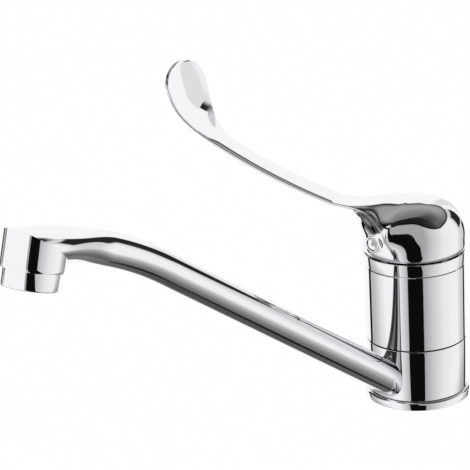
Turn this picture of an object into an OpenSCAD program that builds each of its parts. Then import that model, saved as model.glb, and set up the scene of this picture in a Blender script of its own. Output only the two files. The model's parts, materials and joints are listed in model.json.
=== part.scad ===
// Elbow lever tap: round body on a foot flange, swinging spout and a long spoon lever on top.
// Millimetres. Base face at z = 0, +Z up, +X is the way the lever points at rest.

/* [Body] */
// outer diameter of the upper body and of the spout collar
body_d = 50; // [48:0.5:60]
// height of the foot flange
flange_h = 4; // [3.5:0.5:7]
// how far the foot flange stands out past the body
flange_lip = 1.3; // [0.5:0.1:4]
// height of the zone that the spout collar fills
collar_h = 27; // [26:0.5:34]
// height of the upper body
upper_h = 38.1; // [36:0.1:50]
// height of the shroud ring above the body
ring_h = 6.3; // [6:0.1:8]

/* [Spout] */
// swing of the spout at rest, about Z from the lever's direction
spout_swing = 76; // [-180:1:180]
// height of the tube's axis where it leaves the collar, above the flange
spout_root_h = 11.7; // [11:0.1:13]
// rise of the tube's straight part
spout_rise = 34.8; // [28:0.1:40]
// reach of the straight part from the body's axis
straight_reach = 174.2; // [120:0.1:220]
// radius of the bend at the tube's end
bend_radius = 198; // [150:1:260]
// slope of the tube's axis where it meets the outlet
spout_end_slope = 13.3; // [8:0.1:18]
// tube radius at the collar
tube_r_root = 8.1; // [7.5:0.1:9]
// tube radius in the bend
tube_r_end = 7.1; // [6.7:0.1:7.8]
// radius of the water way in the tube
tube_bore_r = 4.8; // [4:0.1:5.5]
// radius of the outlet head
head_r = 12.5; // [12:0.1:14]
// tilt of the outlet's axis, its bottom leaning outward
outlet_tilt = 17.65; // [10:0.05:25]
// height of the head's lower face below the tube's axis
head_drop = 9.1; // [8.6:0.1:12]

/* [Lever handle] */
// lift of the lever from shut to full flow
lift_range = 20; // [12:1:21]
// height of the cap's side wall above its rim's rounding
cap_wall_h = 4.2; // [3:0.1:8]
// radius of the cap's shoulder
shoulder_r = 18; // [14:0.5:20]
// radius of the cap's dome
dome_r = 57; // [45:1:80]
// half width of the lever's shaft
shaft_half_w = 7; // [5.5:0.1:9]
// radius of the long sweep of the lever's shaft
shaft_sweep_r = 323; // [200:1:500]
// rise of the shaft where the bend to the paddle starts
bend_from = 27.5; // [22:0.5:32]
// radius of the bend to the paddle
lever_bend_r = 40; // [30:1:55]
// rise of the paddle
paddle_rise = 74; // [60:1:80]
// length of the paddle's straight part
paddle_l = 18; // [14:0.5:26]
// half width of the paddle
paddle_half_w = 18.5; // [14:0.5:24]
// thickness of the lever at its edges
lever_edge_t = 2.4; // [2:0.1:4]

/* [Indicator] */
// direction of the indicator plug from the lever's direction
plug_azimuth = 61; // [45:1:75]
// height of the indicator plug above the cap's rim
plug_rise = 8.3; // [7.5:0.1:10]
// radius of the indicator plug
plug_r = 4.3; // [3.5:0.1:4.5]

/* [Foot connections] */
// radius of the inlet threads' bore
inlet_r = 4.5; // [4:0.1:5]
// distance of the inlets from the body's axis
inlet_offset = 8; // [7.5:0.1:9]
// depth of the inlet threads
inlet_depth = 12; // [8:0.5:13]
// radius of the holes for the fixing studs
stud_r = 3.35; // [3:0.05:3.5]
// distance of the stud holes from the body's axis
stud_offset = 10.5; // [10.2:0.1:12]
// depth of the stud holes
stud_depth = 11; // [8:0.5:12]

/* [Hidden] */
$fn = 96;

// running clearance of round fits, clearance of fixed fits, and gap of open seams
run = 0.05;
fit = 0.03;
seam = 0.3;
// overshoot of cutting shapes, and bevel of the outer edges at the seams
over = 1;
bevel = 0.25;

body_r = body_d / 2;
core_r = body_r - 6;
collar_bore_r = core_r + 1.5;
collar_top = flange_h + collar_h;
body_top = collar_top + upper_h;
ring_top = body_top + ring_h;
rim_z = ring_top + seam;
pivot_z = ring_top + 11;

// swivel bearing: glide sleeves at both ends, seal rings either side of the water groove
glide_h = 3.6;
seal_r = 1.2;
seal_centre_r = collar_bore_r - run - seal_r;
seal_low_z = flange_h + 6.2;
seal_high_z = collar_top - 8.5;
groove_h = 7;
water_z = flange_h + 12.3;
groove_depth = 1.2;
way_r = 3;

// cartridge of the 40 mm class, stacked up from the chamber's floor; it follows the body's diameter
chamber_wall = 4.8;
chamber_depth = 31.1;
cartridge_gap = 0.25;
base_h = 4.5;
fixed_h = 3.5;
moving_h = 4;
carrier_h = 6;
rotor_flange_h = 2.7;
flange_gap = 0.2;
housing_lid_h = 2.8;
nut_h = 4.5;
nut_step = 0.4;
chamber_r = body_r - chamber_wall;
chamber_z = body_top - chamber_depth;
cartridge_r = chamber_r - cartridge_gap;
base_z = chamber_z + base_h;
fixed_z = base_z + fixed_h;
moving_z = fixed_z + moving_h;
carrier_z = moving_z + carrier_h;
rotor_z = carrier_z + seam;
wall_z = rotor_z + rotor_flange_h + flange_gap;
housing_top = wall_z + housing_lid_h;
nut_top = housing_top + nut_h;
nut_r = chamber_r + nut_step;
housing_wall = 3;
disc_room_r = chamber_r - housing_wall;
fixed_disc_r = disc_room_r - nut_step;
disc_travel_room = 6.7;
moving_disc_r = disc_room_r - disc_travel_room;
neck_step = 4.7;
neck_r = disc_room_r - neck_step;
rotor_flange_r = disc_room_r - seam;
turret_h = 3.6;
rotor_top = pivot_z + turret_h;
port_offset = 9;
seal_plate_r = disc_room_r - 2.2;
seal_plate_t = 1.5;
spigot_r = body_r - 2.5;
spigot_l = 4;

// stem on the pivot pin; it leans forward by half the lift at rest
lean = lift_range / 2;
pin_r = 2.25;
pin_half_l = neck_r - 1.5;
stem_r = 4;
shank_r = 3.2;
ball_r = 3.5;
ball_z = carrier_z - 1;
arm = pivot_z - ball_z;
ball_rest_x = -arm * sin(lean);
slot_half_w = stem_r + seam;
stem_top = 12.2;
boss_r = 8;
boss_from = 5.7;

// cap of the handle
cap_r = body_r + 0.5;
rim_r = cap_r - 3.4;
rim_round_h = 3.5;
cap_t = 2.6;
rim_t = 1.9;
cap_wall_top = rim_z + rim_round_h + cap_wall_h;
dome_join = asin((cap_r - shoulder_r) / (dome_r - shoulder_r));
dome_z0 = cap_wall_top - (dome_r - shoulder_r) * cos(dome_join);
cap_top = dome_z0 + dome_r;

// lever: chained arcs in the XZ plane, through the middle of its upper face
root_x = cap_r;
root_z = cap_top - 6;
root_slope = -4;
dip_r = 40;
shaft_from = 16;
trumpet_r = 36;
trumpet_l = 16.5;
crown = 1;
dish = 1.2;
belly = 1;
fillet_r = 11;
fillet_x = cap_r - 1.5;
back_l = 10;
root_half_w = 12.5;
dip_l = dip_r * (shaft_from - root_slope) * PI / 180;
shaft_l = shaft_sweep_r * (bend_from - shaft_from) * PI / 180;
bend_l = lever_bend_r * (paddle_rise - bend_from) * PI / 180;
shaft_s = dip_l + shaft_l;
bend_s = shaft_s + bend_l;
lever_l = bend_s + paddle_l;
tip_round_l = paddle_half_w * 0.63;
widest_s = lever_l - tip_round_l;
widen_l = 38;
lever_steps = 48;
loop_steps = 12;

// grub screw line: from the stem's axis down to the indicator plug
grub_r = 2;
grub_l = 4;
grub_h = 11;
plug_h = rim_z + plug_rise - pivot_z;
grub_x = grub_h * sin(lean);
grub_z = grub_h * cos(lean);
plug_x = cap_r * cos(plug_azimuth);
plug_y = cap_r * sin(plug_azimuth);
grub_reach = norm([plug_x - grub_x, plug_y]);
grub_turn = atan2(plug_y, plug_x - grub_x);
grub_drop = atan2(grub_z - plug_h, grub_reach);
plug_far = norm([grub_reach, grub_z - plug_h]);
plug_l = 3.6;
// skew of the grub screw's line to the stem's cross plane, and where its tip clears the stem
grub_skew = asin(sin(grub_drop) * cos(lean) - cos(grub_drop) * cos(grub_turn) * sin(lean));
grub_from = (stem_r + run + grub_r * sin(grub_skew)) / cos(grub_skew);

// spout axis in its own plane
spout_root_z = flange_h + spout_root_h;
straight_l = (straight_reach - body_r) / cos(spout_rise);
straight_z = spout_root_z + straight_l * sin(spout_rise);
bend_x = straight_reach + bend_radius * sin(spout_rise);
bend_z = straight_z - bend_radius * cos(spout_rise);
outlet_axis_x = bend_x - bend_radius * sin(spout_end_slope);
outlet_axis_z = bend_z + bend_radius * cos(spout_end_slope);
outlet_x = outlet_axis_x + head_drop * sin(outlet_tilt);
outlet_z = outlet_axis_z - head_drop * cos(outlet_tilt);
widen_from = spout_end_slope + 10.5;
loft_past = 7;
root_sink = 9;
loft_steps = 18;
step = 0.12;

// aerator under the head
aerator_r = 11.15;
aerator_h = 7.1;
thread_r = 10.4;
thread_l = 4.2;
washer_t = 1.2;
aerator_bore_r = 9.2;
aerator_lip_r = 8.3;
lip_h = 1.2;
screen_t = 0.6;
screen_hole_r = 0.75;

module ring(outer, inner, low, high) {
    translate([0, 0, low])
        difference() {
            cylinder(r = outer, h = high - low);
            translate([0, 0, -over])
                cylinder(r = inner, h = high - low + 2 * over);
        }
}

module hole(radius, low, high) {
    translate([0, 0, low])
        cylinder(r = radius, h = high - low);
}

// round block with bevelled edges, standing on low
module bevelled(radius, low, high) {
    rotate_extrude()
        polygon([[0, low], [radius - bevel, low], [radius, low + bevel], [radius, high - bevel],
            [radius - bevel, high], [0, high]]);
}

// seal ring cut or shape, round in section
module o_ring(centre_z, section_r) {
    translate([0, 0, centre_z])
        rotate_extrude()
            translate([seal_centre_r, 0])
                circle(r = section_r, $fn = 32);
}

// solid between closed rings of points, both ends closed flat
module loft(rings) {
    n = len(rings[0]);
    m = len(rings);
    sides = [for (i = [0:m - 2]) for (k = [0:n - 1])
        let (a = i * n + k, b = i * n + (k + 1) % n)
        each [[a, b, b + n], [a, b + n, a + n]]];
    ends = [[for (k = [n - 1:-1:0]) k], [for (k = [0:n - 1]) (m - 1) * n + k]];
    polyhedron(points = [for (r = rings) each r], faces = concat(sides, ends), convexity = 8);
}

// seat of a glide sleeve on the core
module glide_ring(low) {
    color("white")
        ring(collar_bore_r - run, core_r + fit, low, low + glide_h);
}

module body() {
    color("silver")
        difference() {
            union() {
                hole(core_r, 0, collar_top + over);
                bevelled(body_r, collar_top, body_top);
            }
            hole(chamber_r, chamber_z, body_top);
            hole(nut_r + fit, housing_top - over, body_top);
            hole(spigot_r + fit, body_top - spigot_l - over, body_top + over);
            for (z = [seal_low_z, seal_high_z])
                ring(core_r + over, seal_centre_r - seal_r - fit, z - seal_r - fit, z + seal_r + fit);
            ring(core_r + over, core_r - groove_depth, water_z - groove_h / 2, water_z + groove_h / 2);
            for (side = [-1, 1]) {
                translate([0, side * inlet_offset, 0]) {
                    hole(inlet_r, -over, inlet_depth);
                    hole(way_r, 0, chamber_z + over);
                }
                translate([side * stud_offset, 0, 0])
                    hole(stud_r, -over, stud_depth);
            }
            translate([-port_offset, 0, 0])
                hole(way_r, water_z, chamber_z + over);
            translate([-port_offset, 0, water_z])
                rotate([0, -90, 0])
                    cylinder(r = way_r - 0.1, h = core_r);
        }
}

module base_flange() {
    edge = 1.4;
    flange_r = body_r + flange_lip;
    color("silver")
        difference() {
            rotate_extrude()
                difference() {
                    union() {
                        translate([core_r + fit, 0])
                            square([flange_r - core_r - fit, flange_h - edge]);
                        translate([core_r + fit, 0])
                            square([flange_r - core_r - fit - edge, flange_h]);
                        translate([flange_r - edge, flange_h - edge])
                            circle(r = edge);
                    }
                    translate([0, -edge])
                        square([body_r * 2, edge]);
                }
            ring(body_r, body_r - 3, -over, 1.5);
        }
}

module base_gasket() {
    color("dimgray")
        ring(body_r - fit, body_r - 3 + fit, 0, 1.5);
}

module lower_glide_ring() {
    glide_ring(flange_h);
}

module upper_glide_ring() {
    glide_ring(collar_top - glide_h);
}

module lower_spout_seal() {
    color("dimgray")
        o_ring(seal_low_z, seal_r);
}

module upper_spout_seal() {
    color("dimgray")
        o_ring(seal_high_z, seal_r);
}

// lip ring; its inner cone leaves room for the cap's rim when the lever is lifted
module shroud_ring() {
    lip = 0.4;
    cone_h = 3.7;
    color("silver")
        difference() {
            union() {
                bevelled(body_r, body_top, ring_top);
                hole(spigot_r, body_top - spigot_l, body_top + over);
            }
            hole(spigot_r - 1.5, body_top - spigot_l - over, ring_top);
            hole(spigot_r, body_top + over, ring_top);
            translate([0, 0, ring_top - cone_h])
                cylinder(r1 = spigot_r, r2 = body_r - lip, h = cone_h);
            hole(spigot_r + 0.5, ring_top, ring_top + over);
        }
}

module cartridge_nut() {
    key_r = 1.6;
    color("goldenrod")
        difference() {
            ring(nut_r, neck_r + 1.2, housing_top, nut_top);
            for (a = [0:60:300])
                rotate([0, 0, a])
                    translate([nut_r - 2.2, 0, 0])
                        hole(key_r, nut_top - 2, nut_top + over);
        }
}

module cartridge_housing() {
    color("white")
        difference() {
            union() {
                hole(cartridge_r, base_z, housing_top);
                hole(neck_r + 0.9, housing_top - over, nut_top - 0.3);
            }
            hole(disc_room_r, base_z - over, wall_z);
            hole(neck_r + run, base_z, nut_top);
        }
}

// three water ways: two inlets and the mixed outlet
module ports(radius, low, high) {
    for (p = [[0, inlet_offset], [0, -inlet_offset], [-port_offset, 0]])
        translate([p[0], p[1], 0])
            hole(radius, low, high);
}

module cartridge_base() {
    color("white")
        difference() {
            hole(cartridge_r, chamber_z, base_z);
            hole(seal_plate_r + fit, chamber_z - over, chamber_z + seal_plate_t);
            ports(way_r, chamber_z, base_z + over);
        }
}

module port_seal() {
    color("dimgray")
        difference() {
            hole(seal_plate_r, chamber_z, chamber_z + seal_plate_t);
            ports(way_r + 0.2, chamber_z - over, base_z);
        }
}

module fixed_disc() {
    color("ivory")
        difference() {
            hole(fixed_disc_r, base_z, fixed_z);
            ports(way_r - 0.3, base_z - over, fixed_z + over);
        }
}

module moving_disc() {
    color("ivory")
        translate([ball_rest_x, 0, 0])
            difference() {
                hole(moving_disc_r, fixed_z + run, moving_z);
                hole(moving_disc_r - 2.5, fixed_z, fixed_z + 1.8);
            }
}

module disc_carrier() {
    color("white")
        translate([ball_rest_x, 0, 0])
            difference() {
                hole(moving_disc_r, moving_z, carrier_z);
                hole(ball_r + run, ball_z - ball_r - seam, carrier_z + over);
            }
}

// room for the stem's swing, widest at the rotor's foot
module stem_slot() {
    foot = rotor_z - over;
    foot_l = (pivot_z - foot) * sin(lean) + shank_r + 1;
    waist_l = stem_r / cos(lean) + 0.6;
    head_l = (rotor_top + over - pivot_z) * tan(lean) + waist_l;
    rotate([90, 0, 0])
        linear_extrude(height = 2 * slot_half_w, center = true)
            polygon([[-foot_l, foot], [foot_l, foot], [waist_l, pivot_z], [head_l, rotor_top + over],
                [-head_l, rotor_top + over], [-waist_l, pivot_z]]);
}

module rotor() {
    color("white")
        difference() {
            union() {
                hole(rotor_flange_r, rotor_z, wall_z - flange_gap);
                hole(neck_r, rotor_z, rotor_top);
            }
            stem_slot();
            translate([0, 0, pivot_z])
                rotate([90, 0, 0])
                    cylinder(r = pin_r + fit, h = 2 * neck_r + 2 * over, center = true);
        }
}

module pivot_pin() {
    color("gray")
        translate([0, 0, pivot_z])
            rotate([90, 0, 0])
                cylinder(r = pin_r, h = 2 * pin_half_l, center = true);
}

// children stand on the pivot with the stem's axis as their own Z
module on_stem() {
    translate([0, 0, pivot_z])
        rotate([0, lean, 0])
            children();
}

module stem() {
    color("goldenrod")
        on_stem()
            difference() {
                union() {
                    translate([0, 0, -6])
                        cylinder(r = stem_r, h = stem_top + 6);
                    translate([0, 0, -arm])
                        cylinder(r = shank_r, h = arm);
                    translate([0, 0, -arm])
                        sphere(r = ball_r);
                }
                rotate([90, 0, 0])
                    cylinder(r = pin_r + run, h = 4 * stem_r, center = true);
            }
}

// line of the lever at the length s: [x, z, slope]
function lever_line(s) =
    s < 0 ? [root_x + s * cos(root_slope), root_z + s * sin(root_slope), root_slope] :
    s < dip_l ? arc_point([root_x, root_z], dip_r, root_slope, s) :
    s < shaft_s ? arc_point(dip_end, shaft_sweep_r, shaft_from, s - dip_l) :
    s < bend_s ? arc_point(shaft_end, lever_bend_r, bend_from, s - shaft_s) :
    [bend_end[0] + (s - bend_s) * cos(paddle_rise), bend_end[1] + (s - bend_s) * sin(paddle_rise), paddle_rise];

// point and slope after the length l on an arc that starts at p with the slope a
function arc_point(p, r, a, l) =
    let (b = a + l / r * 180 / PI)
    [p[0] + r * (sin(b) - sin(a)), p[1] + r * (cos(a) - cos(b)), b];

dip_end = arc_point([root_x, root_z], dip_r, root_slope, dip_l);
shaft_end = arc_point(dip_end, shaft_sweep_r, shaft_from, shaft_l);
bend_end = arc_point(shaft_end, lever_bend_r, bend_from, bend_l);

// half width of the lever: trumpet out of the cap, shaft, paddle with an elliptic end
function lever_half_w(s) =
    s > widest_s ? paddle_half_w * sqrt(max(0.004, 1 - pow((s - widest_s) / tip_round_l, 2))) :
    s > widest_s - widen_l ? shaft_half_w
        + (paddle_half_w - shaft_half_w) * (1 + cos(180 * (widest_s - s) / widen_l)) / 2 :
    s > trumpet_l ? shaft_half_w :
    min(shaft_half_w + trumpet_r - sqrt(trumpet_r * trumpet_r - pow(trumpet_l - s, 2)),
        root_half_w);

// depth of the lever's underside below its edges: concave fillet against the cap's wall, then a flat belly
function lever_belly(s) =
    let (gap = fillet_x + fillet_r - max(lever_line(s)[0], fillet_x))
    gap <= 0 ? belly : belly + fillet_r - sqrt(fillet_r * fillet_r - gap * gap);

// closed section of the lever, with a crowned shaft and a dished paddle
function lever_section(s) =
    let (c = lever_line(s), w = lever_half_w(s), b = lever_belly(s), t = lever_edge_t,
        f = s > widest_s ? w / paddle_half_w : 1,
        h = s < shaft_s ? crown : f * (crown - (crown + dish) * min(1, (s - shaft_s) / bend_l)))
    [for (k = [0:2 * loop_steps - 1])
        let (side = k < loop_steps ? 1 : -1, v = -cos(180 * k / loop_steps),
            e = t / 2 * (side * sqrt(max(0, 1 - pow(v, 8))) - 1),
            lift = e + (side > 0 ? h : -b) * (1 - v * v))
        [c[0] - lift * sin(c[2]), w * v, c[1] + lift * cos(c[2])]];

module lever() {
    loft([for (i = [0:lever_steps])
        lever_section(-back_l + (lever_l + back_l) * i / lever_steps)]);
}

module dome(shrink, low) {
    r = cap_r - shrink;
    s = shoulder_r - shrink;
    rotate_extrude()
        intersection() {
            union() {
                translate([0, low])
                    square([r, cap_wall_top - low]);
                translate([cap_r - shoulder_r, cap_wall_top])
                    circle(r = s);
                difference() {
                    translate([0, dome_z0])
                        circle(r = dome_r - shrink);
                    translate([-dome_r, cap_wall_top + s * cos(dome_join) - 2 * dome_r])
                        square(2 * dome_r);
                }
                translate([0, cap_wall_top - over])
                    square([cap_r - shoulder_r + s * sin(dome_join), over + s * cos(dome_join)]);
            }
            translate([0, low])
                square([r, 2 * cap_top]);
        }
}

module handle() {
    rim_lip_h = 1.2;
    color("silver")
        difference() {
            union() {
                difference() {
                    union() {
                        dome(0, rim_z + rim_round_h);
                        translate([0, 0, rim_z])
                            cylinder(r1 = rim_r, r2 = cap_r, h = rim_round_h);
                        lever();
                    }
                    dome(cap_t, rim_z + rim_round_h);
                    hole(rim_r - rim_t, rim_z - over, cap_wall_top);
                    translate([0, 0, rim_z + rim_lip_h])
                        cylinder(r1 = rim_r - rim_t, r2 = cap_r - cap_t, h = rim_round_h - rim_lip_h);
                }
                intersection() {
                    on_stem()
                        translate([0, 0, boss_from])
                            cylinder(r = boss_r, h = stem_top);
                    dome(cap_t / 2, rim_z + rim_round_h);
                }
            }
            on_stem()
                cylinder(r = stem_r + fit, h = stem_top + fit);
            on_grub()
                cylinder(r = grub_r + fit, h = plug_far);
            on_grub()
                translate([0, 0, plug_far - plug_l])
                    cylinder(r = plug_r + fit, h = 2 * plug_l);
        }
}

// children stand on the stem's axis with the grub screw's line as their own Z
module on_grub() {
    translate([grub_x, 0, pivot_z + grub_z])
        rotate([0, 90 + grub_drop, grub_turn])
            children();
}

module grub_screw() {
    key_r = 1.15;
    color("gray")
        on_grub()
            translate([0, 0, grub_from])
                difference() {
                    cylinder(r = grub_r, h = grub_l);
                    translate([0, 0, grub_l - 2])
                        cylinder(r = key_r, h = 3, $fn = 6);
                }
}

module indicator_plug() {
    color("silver")
        on_grub()
            translate([0, 0, plug_far - plug_l])
                cylinder(r = plug_r, h = plug_l);
}

// children lie in the spout's own plane, which is XZ
module in_spout() {
    rotate([0, 0, spout_swing])
        children();
}

// children stand on the outlet's lower face with the outlet's axis as their own Z
module on_outlet() {
    in_spout()
        translate([outlet_x, 0, outlet_z])
            rotate([0, -outlet_tilt, 0])
                children();
}

module straight(r1, r2, from, to) {
    translate([body_r, 0, spout_root_z])
        rotate([0, 90 - spout_rise, 0])
            translate([0, 0, from])
                cylinder(r1 = r1, r2 = r2, h = to - from);
}

module bend(radius, from, to) {
    translate([bend_x, 0, bend_z])
        rotate([90, 0, 0])
            rotate([0, 0, 90 + from])
                rotate_extrude(angle = to - from)
                    translate([bend_radius, 0])
                        circle(r = radius, $fn = 64);
}

// section of the widening head, an ellipse across the tube's axis at the slope a
function head_section(a) =
    let (q = min(1, (widen_from - a) / (widen_from - spout_end_slope)), h = tube_r_end + step,
        w = h + (head_r + 0.3 - h) * q * q * (3 - 2 * q))
    [for (k = [0:39])
        let (t = 9 * k, d = bend_radius + h * sin(t))
        [bend_x - d * sin(a), -w * cos(t), bend_z + d * cos(a)]];

module head() {
    intersection() {
        loft([for (i = [0:loft_steps])
            head_section(widen_from - (widen_from - spout_end_slope + loft_past) * i / loft_steps)]);
        translate([outlet_x, 0, outlet_z])
            rotate([0, -outlet_tilt, 0])
                union() {
                    hole(head_r, -head_r, 3 * head_r);
                    translate([-8 * head_r, -2 * head_r, -2 * head_r])
                        cube([8 * head_r, 4 * head_r, 6 * head_r]);
                }
    }
    translate([outlet_x, 0, outlet_z])
        rotate([0, -outlet_tilt, 0])
            hole(head_r, 0, head_drop - 0.6);
}

module spout_collar() {
    color("silver")
        in_spout()
            difference() {
                bevelled(body_r, flange_h + seam, collar_top - seam);
                hole(collar_bore_r, flange_h - over, collar_top + over);
                translate([collar_bore_r - over, 0, water_z])
                    rotate([0, 90, 0])
                        cylinder(r = way_r + 0.5, h = body_r);
            }
}

// tube, saddled on the collar and square where the head joins it
module spout_tube() {
    color("silver")
        in_spout()
            difference() {
                union() {
                    straight(tube_r_root, tube_r_end + step, -root_sink, straight_l);
                    bend(tube_r_end, widen_from, spout_rise + 1);
                }
                hole(body_r + fit, 0, body_top);
                straight(tube_bore_r, tube_bore_r, -root_sink, straight_l);
                bend(tube_bore_r - step, widen_from - 1, spout_rise + 1);
            }
}

module spout_head() {
    color("silver")
        in_spout()
            difference() {
                head();
                bend(tube_bore_r - step, spout_end_slope + 1, widen_from + 1);
                translate([outlet_x, 0, outlet_z])
                    rotate([0, -outlet_tilt, 0]) {
                        hole(thread_r + fit, -over, thread_l + washer_t);
                        hole(thread_r - 2, 0, head_drop + 1);
                    }
            }
}

module aerator_housing() {
    color("silver")
        on_outlet()
            difference() {
                union() {
                    hole(aerator_r, -aerator_h, 0);
                    hole(thread_r, -over, thread_l);
                }
                hole(aerator_bore_r, lip_h - aerator_h, thread_l + over);
                hole(aerator_lip_r, -aerator_h - over, thread_l);
            }
}

module aerator_washer() {
    color("dimgray")
        on_outlet()
            ring(thread_r - fit, thread_r - 2, thread_l, thread_l + washer_t);
}

module aerator_insert() {
    color("white")
        on_outlet()
            difference() {
                hole(aerator_bore_r - fit, lip_h - aerator_h + screen_t, thread_l - 0.2);
                hole(aerator_bore_r - 1.4, lip_h - aerator_h, thread_l - 1.6);
                for (a = [0:45:315])
                    rotate([0, 0, a])
                        translate([aerator_bore_r * 0.6, 0, 0])
                            hole(0.8, 0, thread_l + over);
            }
}

module aerator_screen() {
    color("gray")
        on_outlet()
            difference() {
                hole(aerator_bore_r - fit, lip_h - aerator_h, lip_h - aerator_h + screen_t);
                for (p = [[6.6, 18], [4.4, 12], [2.2, 6]])
                    for (k = [1:p[1]])
                        rotate([0, 0, 360 * k / p[1]])
                            translate([p[0], 0, 0])
                                hole(screen_hole_r, -aerator_h, 0);
            }
}

body();
base_flange();
base_gasket();
lower_glide_ring();
upper_glide_ring();
lower_spout_seal();
upper_spout_seal();
shroud_ring();
cartridge_nut();
cartridge_housing();
cartridge_base();
port_seal();
fixed_disc();
moving_disc();
disc_carrier();
rotor();
pivot_pin();
stem();
handle();
grub_screw();
indicator_plug();
spout_collar();
spout_tube();
spout_head();
aerator_housing();
aerator_washer();
aerator_insert();
aerator_screen();
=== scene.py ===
# %% [markdown]
# # Elbow lever tap
#
# A kitchen tap that can be worked with the elbow: a round body, a tube spout that swings about it, and a
# cap with a long lever that is turned for warmth and lifted for flow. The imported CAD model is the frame
# of this scene. It holds the sizes and the joints, and every piece below rides on one of its bodies and
# moves with it.
#
# The CAD solids could be rendered as they are, but a mirror shows every facet of a mesh. So most of the
# plated pieces in view are drawn again as fine surfaces that stand for CAD nodes, and all others keep
# their solids. Lengths are in millimetres, the base face is z = 0 and the lever points along +X.

import json

import bmesh
import bpy
import numpy as np
from mathutils import Matrix


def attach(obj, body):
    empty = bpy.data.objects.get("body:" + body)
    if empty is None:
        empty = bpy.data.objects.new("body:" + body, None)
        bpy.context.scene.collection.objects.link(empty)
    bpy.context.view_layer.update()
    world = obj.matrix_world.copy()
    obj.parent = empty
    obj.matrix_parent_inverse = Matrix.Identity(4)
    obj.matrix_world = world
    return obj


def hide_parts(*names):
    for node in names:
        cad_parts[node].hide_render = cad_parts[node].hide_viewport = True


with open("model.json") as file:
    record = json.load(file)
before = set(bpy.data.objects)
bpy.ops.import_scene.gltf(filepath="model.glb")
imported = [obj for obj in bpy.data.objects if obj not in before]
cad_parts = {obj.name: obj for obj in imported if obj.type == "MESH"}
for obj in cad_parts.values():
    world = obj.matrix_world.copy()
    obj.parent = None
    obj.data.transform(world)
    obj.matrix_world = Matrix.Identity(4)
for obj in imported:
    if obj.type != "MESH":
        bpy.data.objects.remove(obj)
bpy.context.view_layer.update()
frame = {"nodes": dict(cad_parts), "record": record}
MM = 0.001

# %% [markdown]
# ## Materials
#
# Nearly everything in view is plated metal, and what the eye reads as chrome is the room that it mirrors.
# Such a metal could be built from layers of nodes, with scratches and water stains. A new, clean tap has
# none of them, so each material is one shader with constant values, and the light further down does the
# rest.


# %% materials
def colour(code):
    """Linear RGBA of an sRGB hex code: each channel is put through the sRGB curve."""
    c = np.array([int(code[i:i + 2], 16) for i in (1, 3, 5)]) / 255
    linear = np.where(c <= 0.04045, c / 12.92, ((c + 0.055) / 1.055) ** 2.4)
    return (*linear.tolist(), 1.0)


def shader(name, code, **values):
    """Material with one principled shader: its colour from the code, its other sockets from the values."""
    m = bpy.data.materials.new(name)
    m.use_nodes = True
    node = m.node_tree.nodes["Principled BSDF"]
    node.inputs["Base Color"].default_value = colour(code)
    for socket, value in values.items():
        node.inputs[socket].default_value = value
    return m


materials = {
    # Plated over a polished casting: a near-white mirror with a trace of lilac and hardly any blur.
    "chrome": shader("chrome plating", "#F4F3F6", Metallic=1.0, Roughness=0.04),
    # Fresh from the lathe: fine tool marks spread the highlights of the yellow metal.
    "brass": shader("machined brass", "#C9A254", Metallic=1.0, Roughness=0.3),
    # Taken from a satin mould: a warm white with a broad, weak sheen.
    "white_plastic": shader("moulded white plastic", "#E6E5E0", Roughness=0.45),
    # Pressed in a dull mould: almost black, with no clear highlight.
    "rubber": shader("black rubber", "#141414", Roughness=0.7),
    # Ground flat with fine grit: a cream white with a sharp gloss.
    "ceramic": shader("lapped ceramic", "#EFECE4", Roughness=0.15),
    # Turned and left bare: darker and greyer than the plating, with softer highlights.
    "steel": shader("turned steel", "#A9A9AC", Metallic=1.0, Roughness=0.25),
}
for part in frame["record"]["subparts"]:
    mesh = frame["nodes"][part["node"]].data
    mesh.materials.clear()
    mesh.materials.append(materials[part["material_slot"]])
print("materials:", len(materials))

# %% [markdown]
# ## Building blocks: from grids to pieces
#
# A casting has no seams, but a grid of points has edges where it ends. A Weld modifier could join such
# edges, but it doesn't tell whether any stayed open. Here a piece is a list of grids: points that fall
# together are made one, faces are turned outward, edges sharper than a limit stay crisp, and the count of
# open edges tells whether the skin is closed.

# %% building blocks: piece
WELD = 0.0005
CRISP = np.radians(35)


def weld(grids):
    """Points and faces of several grids: points that round to the same multiple of WELD become one."""
    points, quads, base = [], [], 0
    for g in grids:
        n = np.arange(g.shape[0] * g.shape[1]).reshape(g.shape[:2]) + base
        quads.append(np.stack([n[:-1, :-1], n[:-1, 1:], n[1:, 1:], n[1:, :-1]], -1).reshape(-1, 4))
        points.append(g.reshape(-1, 3))
        base += n.size
    points = np.concatenate(points)
    keys = np.round(points / WELD).astype(np.int64)
    _, first, index = np.unique(keys, axis=0, return_index=True, return_inverse=True)
    faces = [tuple(dict.fromkeys(q)) for q in index.reshape(-1)[np.concatenate(quads)].tolist()]
    return points[first], [f for f in faces if len(f) > 2]


def piece(name, grids, body, nodes, slot="chrome"):
    """Smooth mesh of welded grids in millimetres that rides on a body and stands for CAD nodes."""
    points, faces = weld(grids)
    mesh = bpy.data.meshes.new(name)
    mesh.from_pydata(points * MM, [], faces)
    bm = bmesh.new()
    bm.from_mesh(mesh)
    bmesh.ops.recalc_face_normals(bm, faces=bm.faces)
    open_edges = sum(not e.is_manifold for e in bm.edges)
    bm.to_mesh(mesh)
    bm.free()
    mesh.polygons.foreach_set("use_smooth", np.ones(len(mesh.polygons), bool))
    mesh.set_sharp_from_angle(angle=CRISP)
    mesh.materials.append(materials[slot])
    obj = bpy.data.objects.new(name, mesh)
    bpy.context.scene.collection.objects.link(obj)
    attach(obj, body)
    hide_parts(*nodes)
    print(name, len(faces), "faces,", open_edges, "open edges")


print("points are welded within", WELD, "mm")

# %% [markdown]
# ## Building blocks: turned shapes
#
# Most round parts of the tap were turned on a lathe, and a turned part is known once its outline is
# known. A Bevel modifier could round the edges afterwards, but its width is a guess where edges meet at
# odd angles. So the outline itself has a radius at each corner, and the lathe turns it about Z.

# %% building blocks: shapes
ARC_POINTS = 7
FULL_TURN = np.linspace(0, 2 * np.pi, 289)


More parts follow.
